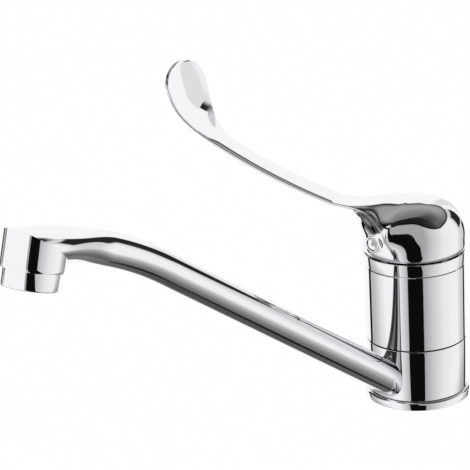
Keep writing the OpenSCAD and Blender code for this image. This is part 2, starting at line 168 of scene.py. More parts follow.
def rounded(corners):
    """Closed outline of corners (r, z, radius): each corner is an arc that touches both of its sides."""
    c = np.array(corners, float)
    out = []
    for p, q, n in zip(np.roll(c, 1, 0), c, np.roll(c, -1, 0)):
        a, b = p[:2] - q[:2], n[:2] - q[:2]
        a, b = a / np.hypot(*a), b / np.hypot(*b)
        half_angle = np.arccos(np.clip(a @ b, -1, 1)) / 2
        if q[2] == 0:
            out.append(q[None, :2])
            continue
        mid = (a + b) / np.hypot(*(a + b))
        centre = q[:2] + mid * q[2] / np.sin(half_angle)
        t = np.linspace(-1, 1, ARC_POINTS)[:, None] * (np.pi / 2 - half_angle)
        side = (b - a) / np.hypot(*(b - a))
        out.append(centre + q[2] * (np.sin(t) * side - np.cos(t) * mid))
    out = np.concatenate(out)
    return np.concatenate([out, out[:1]])


def lathe(outline, turns=FULL_TURN):
    """Outline of (r, z) points turned about Z through the angles in turns."""
    r, z = np.asarray(outline, float).T
    return np.stack([r[:, None] * np.cos(turns), r[:, None] * np.sin(turns), z[:, None] + 0 * turns], -1)


print("a full turn has", len(FULL_TURN) - 1, "steps")

# %% [markdown]
# ## Body stack
#
# From below: a foot flange, the collar that swings with the spout, the upper body and a shroud ring under
# the cap. They could be four plain cylinders. But what the eye finds in a polished stack are the seams:
# each is 0.3 mm wide, and the small radius at either side catches one fine bright line. So flange, collar
# and ring get outlines with radii, and the upper body between them keeps its CAD solid. The ring is
# hollow, with slopes that clear the lifted cap.

# %% body stack
# Outer radii of body and flange, and the bores of flange and collar.
BODY_R, FLANGE_R, FLANGE_BORE, COLLAR_BORE = 25.0, 26.3, 19.03, 20.5
# Heights of the stack, from the flange up to the ring, and the width of a seam.
FLANGE_TOP, COLLAR_TOP, RING_LOW, RING_TOP, SEAM = 4.0, 30.5, 69.3, 75.4, 0.3
# The spigot by which the ring sits in the body, and the ring's thin upper edge.
SPIGOT_BORE, SPIGOT_R, SPIGOT_LOW, RING_EDGE = 21.0, 22.5, 65.1, 0.4
COLLAR_LOW = FLANGE_TOP + SEAM
FLANGE = [(FLANGE_BORE, 0, 0), (FLANGE_R, 0, 0.2), (FLANGE_R, FLANGE_TOP, 1.4), (FLANGE_BORE, FLANGE_TOP, 0)]
COLLAR = [(COLLAR_BORE, COLLAR_LOW, 0.2), (BODY_R, COLLAR_LOW, 0.4), (BODY_R, COLLAR_TOP, 0.25),
          (COLLAR_BORE, COLLAR_TOP, 0.2)]
RING = [(SPIGOT_BORE, SPIGOT_LOW, 0), (SPIGOT_R, SPIGOT_LOW, 0), (SPIGOT_R, RING_LOW, 0),
        (BODY_R, RING_LOW, 0.25), (BODY_R, RING_TOP, 0.25), (BODY_R - RING_EDGE, RING_TOP, 0.1),
        (SPIGOT_R, 71.7, 0), (22, 69.4, 0), (SPIGOT_BORE, 67.4, 0)]
piece("foot_flange", [lathe(rounded(FLANGE))], "body", ["base_flange"])
piece("spout_collar", [lathe(rounded(COLLAR))], "spout", ["spout_collar"])
piece("shroud_ring_shell", [lathe(rounded(RING))], "body", ["shroud_ring"])

# %% [markdown]
# ## Spout: its line
#
# A drawn tube, bent once over a large roll and brazed into the collar. Its axis lies in one upright
# plane: a straight rise, then a wide arc that flattens towards the outlet, which is a short tilted
# cylinder. A curve object with a bevel would give such a tube, but not the flare that spreads the end to
# the cylinder's width. So the axis is written as a line and an arc, and points on the skin are worked out
# from it.

# %% spout: line
# The swing at rest, and the slopes of the rise, of the bend's end and of the outlet's face.
SWING = 76.0
RISE, SLOPE, TILT = np.radians([34.8, 13.3, 17.65])
# Where the axis leaves the collar, where its bend starts, and the radii.
ROOT, BEND_X = np.array([BODY_R, 15.7]), 174.2
STRAIGHT = (BEND_X - ROOT[0]) / np.cos(RISE)
ROOT_R, TUBE_R, HEAD_R, BEND_R = 8.1, 7.1, 12.5, 198.0
# Turn over which the end flares, and the way from the axis' end down to the outlet's face.
FLARE, DROP = np.radians(10.5), 9.1


def step(x, start, length):
    """Smooth step from 0 at the start to 1 after the length: 3 q squared less 2 q cubed, of the share q."""
    q = np.clip((x - start) / length, 0, 1)
    return q * q * (3 - 2 * q)


def heading(a):
    """Unit vector (x, z) of the slope a in the spout's plane."""
    return np.array([np.cos(a), np.sin(a)])


BEND = ROOT + STRAIGHT * heading(RISE) + BEND_R * heading(RISE - np.pi / 2)
OUTLET = BEND + BEND_R * heading(SLOPE + np.pi / 2) + DROP * heading(TILT - np.pi / 2)


def tube_point(slope, phi):
    """Point of the bend's skin at the axis slope and the angle phi round the section, from +Y upward."""
    half_w = TUBE_R + (HEAD_R - TUBE_R) * (1 - step(slope, SLOPE, FLARE))
    d = BEND_R + TUBE_R * np.sin(phi)
    return np.stack([BEND[0] - d * np.sin(slope), half_w * np.cos(phi), BEND[1] + d * np.cos(slope)], -1)


print("outlet's lower face at", OUTLET.round(1), "mm")

# %% [markdown]
# ## Spout: tube
#
# The tube ends where its skin meets the far wall of the outlet's cylinder. A Boolean could cut it there,
# at the price of ragged triangles along the cut. Instead, for every line along the skin, the place where
# it reaches the wall is found by halving an interval. The last row of points then lies on the wall, and
# the outlet can start from that same row, so tube and head share one crisp crease.

# %% spout: tube
SUNK = 6.0
AROUND, STRAIGHT_ROWS, BEND_ROWS = 145, 60, 90
HALVINGS, LEAST_SLOPE = 50, np.radians(2)


def turned(points, degrees):
    """Points turned about Z."""
    a = np.radians(degrees)
    m = np.array([[np.cos(a), -np.sin(a), 0], [np.sin(a), np.cos(a), 0], [0, 0, 1]])
    return points @ m.T


def to_outlet(p):
    """Coordinates on the outlet: forward, across and up along its axis from its lower face."""
    x, z = p[..., 0] - OUTLET[0], p[..., 2] - OUTLET[1]
    return np.stack([x * np.cos(TILT) + z * np.sin(TILT), p[..., 1], z * np.cos(TILT) - x * np.sin(TILT)], -1)


def from_outlet(p):
    """Points on the outlet back in the spout's plane, swung to the rest pose."""
    x = OUTLET[0] + p[..., 0] * np.cos(TILT) - p[..., 2] * np.sin(TILT)
    z = OUTLET[1] + p[..., 0] * np.sin(TILT) + p[..., 2] * np.cos(TILT)
    return turned(np.stack([x, p[..., 1], z], -1), SWING)


def end_slope(phi):
    """Slope at which each line of the skin is as far forward as the wall: the upper half meets the cylinder's
    far side, the lower half the plane through its axis."""
    low, high = np.full_like(phi, LEAST_SLOPE), np.full_like(phi, RISE)
    for _ in range(HALVINGS):
        mid = (low + high) / 2
        o = to_outlet(tube_point(mid, phi))
        far_side = np.where(np.sin(phi) > 0, np.sqrt(np.maximum(HEAD_R ** 2 - o[:, 1] ** 2, 0)), 0)
        past = o[:, 0] > far_side
        low, high = np.where(past, mid, low), np.where(past, high, mid)
    return (low + high) / 2


phi = np.linspace(0, 2 * np.pi, AROUND)
run = np.linspace(-SUNK, STRAIGHT, STRAIGHT_ROWS)[:, None]
radius = ROOT_R + (TUBE_R - ROOT_R) * np.clip(run / STRAIGHT, 0, 1)
straight = np.stack([ROOT[0] + run * np.cos(RISE) - radius * np.sin(phi) * np.sin(RISE),
                     radius * np.cos(phi) + 0 * run,
                     ROOT[1] + run * np.sin(RISE) + radius * np.sin(phi) * np.cos(RISE)], -1)
share = np.linspace(0, 1, BEND_ROWS)[1:, None]
bend = tube_point(RISE + (end_slope(phi) - RISE) * share, phi + 0 * share)
tube = np.concatenate([straight, bend])
ends = [np.repeat(tube[i].mean(0)[None, None], len(phi), 1) for i in (0, -1)]
piece("spout_tube", [turned(np.concatenate([ends[0], tube, ends[1]]), SWING)], "spout", ["spout_tube"])

# %% [markdown]
# ## Spout: outlet head and aerator
#
# The head is a short cylinder with a thin lip, and the aerator's narrower ring is screwed up into it. Two
# plain cylinders would leave a gap where the tube runs in. So the head's upper edge follows the tube's
# last row on one side and a level half circle on the other, and every circle below takes the angles of
# that edge.

# %% spout: head
# The head's bore and its depth, and the lip round its lower face.
BORE_R, BORE_Z, LIP_W, LIP_MID = 10.43, 5.4, 0.4, 0.12
MOUTH = [(0, BORE_Z), (BORE_R, BORE_Z), (BORE_R, 0), (HEAD_R - LIP_W, 0), (HEAD_R - LIP_MID, LIP_MID),
         (HEAD_R, LIP_W)]
INNER_Z, SIDE_ROWS = 4.0, 12
# The aerator ring: radii of thread, sleeve, inside and opening, and the heights of its ends and ledge.
THREAD_R, SLEEVE_R, INSIDE_R, OPEN_R = 10.4, 11.15, 9.2, 8.3
THREAD_TOP, LEDGE_Z, SLEEVE_LOW = 4.2, -5.9, -7.1
AERATOR = [(INSIDE_R, THREAD_TOP, 0), (INSIDE_R, LEDGE_Z, 0), (OPEN_R, LEDGE_Z, 0), (OPEN_R, SLEEVE_LOW, 0.2),
           (SLEEVE_R, SLEEVE_LOW, 0.5), (SLEEVE_R, 0, 0.3), (THREAD_R, 0, 0), (THREAD_R, THREAD_TOP, 0)]
HALF_TURN = AROUND // 2 + 1
crest = to_outlet(bend[-1])[:HALF_TURN]
near_a = np.linspace(-np.pi / 2, -3 * np.pi / 2, HALF_TURN)[1:]
near = np.stack([HEAD_R * np.cos(near_a), HEAD_R * np.sin(near_a), 0 * near_a + crest[-1, 2]], -1)
top = np.concatenate([crest, near])
top_a = np.unwrap(np.arctan2(top[:, 1], top[:, 0]))


def round_outlet(r, z):
    """Circle about the outlet's axis, sampled at the angles of the head's upper edge."""
    return np.stack([r * np.cos(top_a), r * np.sin(top_a), 0 * top_a + z], -1)


mouth = [round_outlet(r, z) for r, z in MOUTH]
side = [mouth[-1] + (top - mouth[-1]) * t for t in np.linspace(0, 1, SIDE_ROWS)[1:]]
head = from_outlet(np.stack(mouth + side + [round_outlet(0, INNER_Z)]))
piece("outlet_head", [head], "spout", ["spout_head"])
piece("aerator_ring", [from_outlet(lathe(rounded(AERATOR)))], "spout", ["aerator_housing"])

# %% [markdown]
# ## Handle: the cap's line
#
# Cap and lever are one casting, polished until dome, brim and lever flow into each other. It could be
# sculpted, or a cube could be subdivided, but a mirror shows the smallest dent. So the handle is a grid
# of ribs. Each rib starts on the middle line of the upper face, goes out to the edge, round the edge's
# lip, and back under to the middle line of the underside. The first ribs fan out from the dome's crown,
# and their edge is the crease that climbs from the rim up the cap's side. The next follow the flare, and
# the rest cross the shaft and the spoon paddle.
#
# First comes the cap's outline: a flat dome arc, a tighter shoulder arc that runs on from it, and an
# upright wall.

# %% handle: cap line
# The cap's radius, the heights of its foot and of the wall's top, and the radii of both arcs.
CAP_R, FOOT_Z, WALL_Z, SHOULDER, DOME = 25.5, 79.2, 83.4, 18.0, 57.0
JOIN = np.arcsin((CAP_R - SHOULDER) / (DOME - SHOULDER))
DOME_Z = WALL_Z - (DOME - SHOULDER) * np.cos(JOIN)
DOME_L = DOME * JOIN
SIDE_L = DOME_L + SHOULDER * (np.pi / 2 - JOIN)
CAP_L = SIDE_L + WALL_Z - FOOT_Z


def cap_line(s):
    """(r, z) at the length s down the dome's arc, the shoulder's arc and the upright wall."""
    a, b = s / DOME, JOIN + (s - DOME_L) / SHOULDER
    parts = [s < DOME_L, s < SIDE_L]
    r = np.select(parts, [DOME * np.sin(a), CAP_R - SHOULDER + SHOULDER * np.sin(b)], CAP_R)
    z = np.select(parts, [DOME_Z + DOME * np.cos(a), WALL_Z + SHOULDER * np.cos(b)], WALL_Z - (s - SIDE_L))
    return r, z


def dome_z(r):
    """Height of the dome and shoulder over the radius r, and 0 beyond the cap."""
    shoulder = WALL_Z + np.sqrt(np.maximum(SHOULDER ** 2 - (r - CAP_R + SHOULDER) ** 2, 0))
    dome = DOME_Z + np.sqrt(np.maximum(DOME ** 2 - r * r, 0))
    return np.where(r > CAP_R, 0, np.where(r < CAP_R - SHOULDER + SHOULDER * np.sin(JOIN), dome, shoulder))


print("crown of the dome at", round(DOME_Z + DOME, 1), "mm")

# %% [markdown]
# ## Handle: the lever's line
#
# From the side the lever leaves the cap almost level, rises in a long slight arc, and bends up into the
# paddle. From above it is a slim shaft that swells to the paddle's width and ends in half an ellipse. A
# Bezier curve could follow both, but its handles mean nothing on the real part. Arcs have radii and
# angles that can be fitted one by one.

# %% handle: lever line
# The first point (x, z), and arcs of a radius from one slope to the next.
START = np.array([CAP_R, 96.13])
ARCS = [(40.0, -4.0, 16.0), (323.0, 16.0, 27.5), (40.0, 27.5, 74.0)]
PADDLE_L, TIP, SWELL_L = 18.0, 11.6, 38.0
SHAFT_W, PADDLE_W = 7.0, 18.5
FLARE_X = 40.0
TABLE_L, TABLE_POINTS = 40.0, 400


def lever_line(s):
    """(x, z, slope) at the length s along the chained arcs of the edge line, then straight on."""
    x, z = np.full_like(s, START[0]), np.full_like(s, START[1])
    slope = np.full_like(s, np.radians(ARCS[0][1]))
    left = s
    for r, a, b in ARCS:
        a, b = np.radians([a, b])
        part = np.clip(left, 0, r * (b - a))
        now = a + part / r
        x, z = x + r * (np.sin(now) - np.sin(a)), z + r * (np.cos(a) - np.cos(now))
        slope, left = np.where(part > 0, now, slope), left - part
    return x + left * np.cos(slope), z + left * np.sin(slope), slope


LEVER_L = sum(r * np.radians(b - a) for r, a, b in ARCS) + PADDLE_L
WIDEST = LEVER_L - TIP
flare_s = np.linspace(0, TABLE_L, TABLE_POINTS)
flare_x = lever_line(flare_s)[0]
FLARE_S = float(np.interp(FLARE_X, flare_x, flare_s))


def half_width(s):
    """Half width of shaft and paddle: a cosine swell to the widest place, then half an ellipse to the tip."""
    swell = SHAFT_W + (PADDLE_W - SHAFT_W) * (1 + np.cos(np.pi * np.clip((WIDEST - s) / SWELL_L, 0, 1))) / 2
    return swell * np.sqrt(np.maximum(1 - np.clip((s - WIDEST) / TIP, 0, 1) ** 2, 0))


print("lever's edge line:", round(LEVER_L, 1), "mm, widest after", round(WIDEST, 1), "mm")

# %% [markdown]
# ## Handle: the middle line
#
# Along the middle the dome dips into the lever without a corner. Taking the higher of the two curves
# would leave one, and the mirror would show it as a line. So where they come near each other, a little is
# added that fades to nothing at a set distance. The lever's curve runs on under the dome and drops away
# there, and a low swell fills the saddle.

# %% handle: middle line
CROWN, NEAR = 0.3, 5.0
FALL, SADDLE_X, SADDLE_W = 7.2, 28.0, 6.0


def ridge_z(x):
    """Height of the middle line: the higher of dome and lever, plus a quarter of NEAR times the square of the
    share by which they are closer than NEAR."""
    lever = lever_line(np.interp(x, flare_x, flare_s))[1] - np.maximum((START[0] - x) / FALL, 0) ** 3
    lever = lever + CROWN + np.exp(-((x - SADDLE_X) / SADDLE_W) ** 2)
    dome = dome_z(x)
    closer = np.maximum(NEAR - np.abs(dome - lever), 0)
    return np.maximum(dome, lever) + closer ** 2 / (4 * NEAR)


print("middle line over the cap's front edge:", ridge_z(np.array([CAP_R])).round(1), "mm")

# %% [markdown]
# ## Handle: crease
#
# The sharpest line of the handle climbs from the cap's foot, leans forward and becomes the lever's edge.
# It could come from cutting a lever out of a dome, but the cut would wander with every change. So it's
# drawn first, through points fitted to the photo, and the surfaces on both sides hang on it. It's drawn
# in by the radius of the lip that rolls over it, and put back on the cap wherever the cap alone makes the
# edge.

# %% handle: crease
CREASE_AZ = np.radians(86.5)
CREASE = np.array([
    (CAP_R * np.cos(CREASE_AZ), CAP_R * np.sin(CREASE_AZ), FOOT_Z), (2.5, 25.38, 83.5), (4.68, 24.56, 87.9),
    (7.39, 22.73, 91.0), (10.46, 20.1, 93.3), (12.86, 17.97, 94.3), (15.6, 15.4, 95.1), (20.1, 12.3, 96.0),
    (26.3, 9.7, 96.6), (32, 8.1, 97.0), (FLARE_X, SHAFT_W, 97.8)])
BRIM_R, LIP_R = 0.8, 0.65
ROLL_PLACES, ROLL_RADII = [0, 0.15, 0.4, 0.6, 0.8, 1], [0, 0.6, BRIM_R, BRIM_R, 0.7, LIP_R]
INWARD = 0.8
CREASE_RIBS, CREASE_PASSES, ROLL_PASSES = 90, 60, 10
# The share of the crease where the cap lets go of it, and the share over which it does.
CAP_ONLY, CAP_POINTS = (0.25, 0.2), 4000


def eased(rows, passes):
    """Rows averaged with their neighbours, half and two quarters, with both ends kept."""
    rows = rows.copy()
    for _ in range(passes):
        rows[1:-1] = (rows[:-2] + 2 * rows[1:-1] + rows[2:]) / 4
    return rows


def smooth_curve(points, count, passes):
    """Curve of count points at equal lengths along the given ones, then eased."""
    place = np.insert(np.cumsum(np.linalg.norm(np.diff(points, axis=0), axis=1)), 0, 0)
    at = np.linspace(0, place[-1], count)
    return eased(np.stack([np.interp(at, place, c) for c in points.T], 1), passes)


u = np.linspace(0, 1, CREASE_RIBS)[:, None]
crease = smooth_curve(CREASE, CREASE_RIBS, CREASE_PASSES)
brim_r = eased(np.interp(u, ROLL_PLACES, ROLL_RADII), ROLL_PASSES)
ahead = np.gradient(crease, axis=0)
inward = np.stack([ahead[:, 1], -ahead[:, 0]], 1) / np.hypot(ahead[:, :1], ahead[:, 1:2])
crease += np.concatenate([INWARD * inward, np.ones_like(u)], 1) * brim_r * (1 - u ** 4)
cap_s = np.linspace(0, CAP_L, CAP_POINTS)
cap_r, cap_z = cap_line(cap_s)
on_dome = 1 - step(u, *CAP_ONLY)
crease_r = np.linalg.norm(crease[:, :2], axis=1, keepdims=True)
crease[:, :2] *= 1 + (np.interp(-crease[:, 2:], -cap_z, cap_r) / crease_r - 1) * on_dome
print("crease from", crease[0].round(1), "to", crease[-1].round(1))

# %% [markdown]
# ## Handle: upper face of cap and flare
#
# Above the crease the cap's dome slides into the lever's crown. Blending two finished meshes would give a
# lumpy zone between them. Instead every rib keeps the cap's own curve, shortened to end on the crease and
# stretched between the crease and the middle line, so one form changes steadily into the other.

# %% handle: upper face
FAN_END, HIGHEST = 0.42, 94.5
TOP_POINTS, CROWDING = 48, 1.4
SPINE_POWER, SPINE_PASSES = 1.5, 30
FACE_PASSES, FACE_BLEND = 30, (0.12, 0.2)
q = 1 - (1 - np.linspace(0, 1, TOP_POINTS)) ** CROWDING
# The lower of the crease's height and the highest one, with the corner between them rounded.
rib_z = HIGHEST - np.log1p(np.exp(HIGHEST - crease[:, 2:]))
r, z = cap_line(np.interp(-rib_z, -cap_z, cap_s) * q)
spread = r / r[:, -1:]
drop = (z - z[:, -1:]) / (z[:, :1] - z[:, -1:])
past_fan = np.maximum((u - FAN_END) / (1 - FAN_END), 0)
spine = eased(FLARE_X * past_fan ** SPINE_POWER, SPINE_PASSES)
front_top = np.stack([spine + (crease[:, :1] - spine) * spread, crease[:, 1:2] * spread,
                      crease[:, 2:] + (ridge_z(spine) - crease[:, 2:]) * drop], -1)
blend = step(u, *FACE_BLEND)[:, :, None]
front_top = front_top * (1 - blend) + eased(front_top, FACE_PASSES) * blend
print("upper face of the cap's front:", front_top.shape)

# %% [markdown]
# ## Handle: upper face of the lever
#
# The shaft is a little crowned, and the paddle is dished like a spoon, so that an elbow stays on it. A
# flat lever with a dent pressed in would show the dent's rim. Here crown and dish are two heights across
# the same rib, and one fades into the other along the length where the shaft swells. Places crowd towards
# the tip, where the edge turns.

# %% handle: lever top
DISH = 1.7
SHAFT_RIBS, TIP_RIBS = 100, 40
to_widest = np.linspace(FLARE_S, WIDEST, SHAFT_RIBS)[1:]
to_tip = WIDEST + TIP * np.sin(np.linspace(0, np.pi / 2, TIP_RIBS))[1:]
along = np.concatenate([to_widest, to_tip])
cx, cz, slope = [v[:, None] for v in lever_line(along)]
w = half_width(along)[:, None]
fade = step(along, WIDEST - SWELL_L, SWELL_L)[:, None]
full = np.minimum(w / (SHAFT_W + (PADDLE_W - SHAFT_W) * fade), 1)
height = full * (CROWN * (1 - fade) * drop[-1] - DISH * fade * (1 - spread[-1] ** 2))
lever_top = np.stack([cx - height * np.sin(slope), w * spread[-1], cz + height * np.cos(slope)], -1)
print("upper face of the lever:", lever_top.shape)

# %% [markdown]
# ## Handle: one skin
#
# In the photo the cap's side sweeps outward into the lever's brim. That sweep could be one more surface,
# with seams of its own. It's easier to draw the finished skin: points are pulled out and back by an
# amount that grows with the turn towards the front and fades at the foot, near the top and along the
# lever. A last easing, along the rows and across them, takes the waves out of the reflections, and a
# weight keeps it away from back, foot and shaft.

# %% handle: skin
SEAM_ROW = 60
SWEEP, SWEEP_DIRECTION = 7.0, np.array([-0.47, 0.88, -0.1])
# The slanted line: its azimuth at a height, its degrees per millimetre, and the turn that counts as one.
LINE_AZ, LINE_Z, LINE_SLANT, ONE_TURN = 100, 84, 1.4, 40
# Where each soft limit starts and how long it takes.
LOW_FADE, TOP_FADE, LEVER_FADE = (FOOT_Z, 10), (94.5, 6.5), (2, 20)
BACK_KEPT, SHAFT_KEPT, FOOT_KEPT = (20, 30), (SEAM_ROW + 72, 14), (FOOT_Z + 0.4, 5)
ROW_PASSES, RIB_PASSES = 50, 25


def swept(points):
    """Points moved by SWEEP times the square of their turn past a slanted line, within soft limits."""
    x, y, z = points[..., 0], np.abs(points[..., 1]), points[..., 2]
    line_az = LINE_AZ + LINE_SLANT * (z - LINE_Z)
    turn = np.maximum((line_az - np.degrees(np.arctan2(y, x))) / ONE_TURN, 0)
    limits = step(z, *LOW_FADE) * (1 - step(z, *TOP_FADE)) * (1 - step(x, *LEVER_FADE))
    mirrored = np.stack([np.ones_like(x), np.sign(points[..., 1]), np.ones_like(x)], -1)
    return points + (SWEEP * turn ** 2 * limits)[..., None] * SWEEP_DIRECTION * mirrored


back_az = np.linspace(np.pi, CREASE_AZ, SEAM_ROW + 1)[:, None]
r, z = cap_line(CAP_L * q)
back_top = np.stack([r * np.cos(back_az), r * np.sin(back_az), z + 0 * back_az], -1)
skin = swept(np.concatenate([back_top[:-1], front_top, lever_top]))
row = np.arange(len(skin))[:, None]
soft = step(row, *BACK_KEPT) * (1 - step(row, *SHAFT_KEPT)) * step(skin[..., 2], *FOOT_KEPT)
smooth = eased(eased(skin, ROW_PASSES).swapaxes(0, 1), RIB_PASSES).swapaxes(0, 1)
moved = (smooth - skin) * soft[:, :, None]
skin += moved
back, upper = skin[:SEAM_ROW + 1], skin[SEAM_ROW:]
print("skin:", skin.shape, "eased by at most", np.abs(moved).max().round(2), "mm")

# %% [markdown]
# ## Handle: lips
#
# A cast edge is never sharp: polishing leaves a small round that draws a bright line beside a dark one. A
# Bevel modifier would need a clean edge loop and one width, but this lip starts from nothing at the cap's
# foot and grows towards the paddle. So it's two quarter circles on every rib: one rolls over the edge,
# one tucks under it.

# %% handle: lips
LIP_GROWTH, LIP_START = 0.3, 0.2
MOSTLY_UP = np.array([0.3, 0.3, 1.0])
LIP_POINTS, POINTS_IN, TINY = 8, 3, 1e-6


def unit(v):
    """Vectors divided by their length."""
    return v / np.maximum(np.linalg.norm(v, axis=-1, keepdims=True), 1e-9)


edge = upper[:, -1]
path = unit(np.gradient(edge, axis=0))
across = unit(edge - upper[:, -1 - POINTS_IN])
normal = unit(np.cross(across, path))
normal *= np.sign(np.sum(normal * MOSTLY_UP, 1, keepdims=True))
normal[-len(along):] = np.concatenate([-np.sin(slope), 0 * slope, np.cos(slope)], 1)
path[-1] = [0, -1, 0]
outward = unit(np.cross(path, normal))
outward *= np.sign(np.sum(outward * across, 1, keepdims=True) + TINY)
outward[-1] = [np.cos(slope[-1, 0]), 0, np.sin(slope[-1, 0])]
lever_lip = LIP_R + LIP_GROWTH * fade
over_r = np.concatenate([brim_r, lever_lip])[:, :, None]
under_r = np.concatenate([LIP_R * (1 - np.exp(-u / LIP_START)), lever_lip])[:, :, None]
beta = np.linspace(0, np.pi / 2, LIP_POINTS)[1:, None]
out_v, up_v = outward[:, None], normal[:, None]
over = edge[:, None] + over_r * (np.sin(beta) * out_v - (1 - np.cos(beta)) * up_v)
tuck = over[:, -1:] - under_r * ((1 - np.cos(beta)) * out_v + np.sin(beta) * up_v)
lips = np.concatenate([over, tuck], 1)
print("lips:", lips.shape)

# %% [markdown]
# ## Handle: underside
#
# Below the crease the cap's front wall stands upright, curves forward in a fillet and becomes the lever's
# belly. It could be lofted from a few sections, but a loft drifts between them. Each rib runs from its
# lip to the middle line in radius and angle about the tap's axis: on the cap it hugs the wall, under the
# lever it is a plain parabola. A narrow valley under the brim makes the crease read as a crease, and the
# wall leans out a little towards it.

# %% handle: underside
FILLET, FILLET_Z = 12.0, 82.5
FLAT_L, FLAT_SLOPE = 3.3, 0.07
BELLY, SPOON = 0.8, 5.0
VALLEY, VALLEY_W, LEAN = 1.1, 0.14, 1.2
UNDER_POINTS = 44
CAP_POWER, LEVER_POWER, LEAN_POWER = 6, 2, 6
POWER_FADE, FRONT_FADE, VALLEY_RISE, LEAN_RISE = (FAN_END, 0.4), (0.45, 0.35), (0, 0.15), (FOOT_Z, 14)
s = past_fan * (FILLET * np.pi / 2 + FLAT_L)
bend_a = np.minimum(s / FILLET, np.pi / 2)
rest = np.maximum(s - FILLET * np.pi / 2, 0)
depth = (BELLY + (SPOON - BELLY) * fade) * full + 2 * lever_lip
front_r = CAP_R + FILLET * (1 - np.cos(bend_a)) + rest
climb = (FILLET_Z - FOOT_Z) * np.minimum(u / FAN_END, 1)
front_z = FOOT_Z + climb + FILLET * np.sin(bend_a) + FLAT_SLOPE * rest
middle_r = np.concatenate([front_r, cx + depth * np.sin(slope)])
middle_z = np.concatenate([front_z, cz - depth * np.cos(slope)])
low_edge = lips[:, -1]
v = np.linspace(1, 0, UNDER_POINTS)[1:]
low_az = np.arctan2(low_edge[:, 1:2], low_edge[:, :1]) * v
on_cap = np.concatenate([u, np.ones_like(cx)])
power = CAP_POWER + (LEVER_POWER - CAP_POWER) * step(on_cap, *POWER_FADE)
front_only = 1 - step(on_cap, *FRONT_FADE)
low_z = middle_z + (low_edge[:, 2:] - middle_z) * v ** 2
low_r = middle_r + (np.hypot(low_edge[:, :1], low_edge[:, 1:2]) - middle_r) * v ** power
valley = np.sin(np.pi * np.clip((1 - v) / VALLEY_W, 0, 1))
low_r -= VALLEY * step(on_cap, *VALLEY_RISE) * front_only * valley
low_r += LEAN * front_only * (1 - v ** LEAN_POWER) * step(low_z, *LEAN_RISE)
under = np.stack([low_r * np.cos(low_az), low_r * np.sin(low_az), low_z], -1)
print("underside:", under.shape)

# %% [markdown]
# ## Handle: rim and mesh
#
# Five grids close the skin: the ribs and their mirror image, the back of the cap and its mirror image,
# and a turned rim with the hollow inside. A Mirror modifier could make the other half, but it can't weld
# to a turned grid. The rim takes the angles at which the other grids end, so that their points fall
# together and no edge stays open.

# %% handle: mesh
# The rim's quarter ellipse, and the hollow's radius and the thickness of its roof.
RIM_IN, RIM_LOW, HOLLOW_R, ROOF = 2.2, 3.6, 22.9, 2.6
SKIRT = [(23.0, 74.6), (22.2, 74.6), (22.0, 75.6), (20.2, 75.6), (20.2, 76.9), (HOLLOW_R, FOOT_Z)]
RIM_POINTS, HOLLOW_POINTS, ANGLE_DIGITS = 10, 30, 9
OTHER_SIDE = np.array([1, -1, 1])
EDGE_POINT = upper.shape[1] - 1
half = np.concatenate([upper, lips, under], 1)
half[-1, :, 1] = 0
half[0, EDGE_POINT + 1:EDGE_POINT + 1 + lips.shape[1]] = half[0, EDGE_POINT]
front_az = np.arctan2(half[0, EDGE_POINT:, 1], half[0, EDGE_POINT:, 0])
rim_az = np.concatenate([front_az, -front_az, back_az[:, 0], -back_az[:, 0]])
rim_az = np.unique(np.round(rim_az, ANGLE_DIGITS))
rim_az = rim_az[(rim_az > -np.pi + TINY) & (rim_az < np.pi + TINY)]
rim_az = np.append(rim_az, rim_az[0] + 2 * np.pi)
t = np.linspace(0, np.pi / 2, RIM_POINTS)[1:]
inner_r, inner_z = cap_line(np.linspace(SIDE_L, 0, HOLLOW_POINTS))
rim = np.concatenate([[(CAP_R, FOOT_Z)],
                      np.stack([CAP_R - RIM_IN + RIM_IN * np.cos(t), FOOT_Z - RIM_LOW * np.sin(t)], 1),
                      SKIRT,
                      np.stack([inner_r * (HOLLOW_R / CAP_R), inner_z - ROOF], 1)])
halves = [half, half[:, ::-1] * OTHER_SIDE, back, back[:, ::-1] * OTHER_SIDE]
piece("lever_handle", halves + [lathe(rim, rim_az)], "lever", ["handle"])

# %% [markdown]
# ## Handle: indicator plug
#
# A small plated plug in the cap's side covers the grub screw. It could be a flat disc, but the ring in it
# is what makes it show: a raised border, a shallow groove and a hole in the middle, each with its own
# highlight. So it's a turned outline like the body's pieces, stood on the cap's side with its axis
# pointing outward.

# %% handle: indicator plug
BUTTON = [(0, -1, 0), (0.8, -1, 0), (0.8, 0.5, 0.2), (2.8, 0.4, 0.3), (3.3, 0.95, 0.3), (4.1, 0.95, 0.4),
          (4.1, -3, 0), (0, -3, 0)]
PLUG_AT, PLUG_AZ = np.array([12.36, 22.3, 83.95]), np.radians(74)
sideways = [-np.sin(PLUG_AZ), np.cos(PLUG_AZ), 0]
outwards = [np.cos(PLUG_AZ), np.sin(PLUG_AZ), 0]
plug = PLUG_AT + lathe(rounded(BUTTON)) @ np.array([sideways, [0, 0, 1], outwards])
piece("indicator_button", [plug], "lever", ["indicator_plug"])

# %% [markdown]
# ## Camera
#
# The photo was taken from a little above, with a long lens that hardly shows perspective. A camera could
# be placed by eye, and each piece would then be bent to suit it. This one was fitted to the seams of the
# body and the edges of the spout, so that turned parts stay round and the sizes of the CAD model agree
# with the photo.


# %% camera
def look(position, target, roll):
    """Camera matrix at the position, facing the target, turned about the view by roll degrees."""
    back_v = unit(np.array(position) - np.array(target))
    right = unit(np.cross([0, 0, 1], back_v))
    up = np.cross(back_v, right)
    a = np.radians(roll)
    columns = [np.cos(a) * right + np.sin(a) * up, -np.sin(a) * right + np.cos(a) * up, back_v, position]
    m = np.eye(4)
    m[:3] = np.stack(columns, 1)
    return Matrix(m.tolist())


def aim(azimuth, elevation):
    """Unit vector of a direction in degrees."""
    a, e = np.radians([azimuth, elevation])
    return np.array([np.cos(e) * np.cos(a), np.cos(e) * np.sin(a), np.sin(e)])


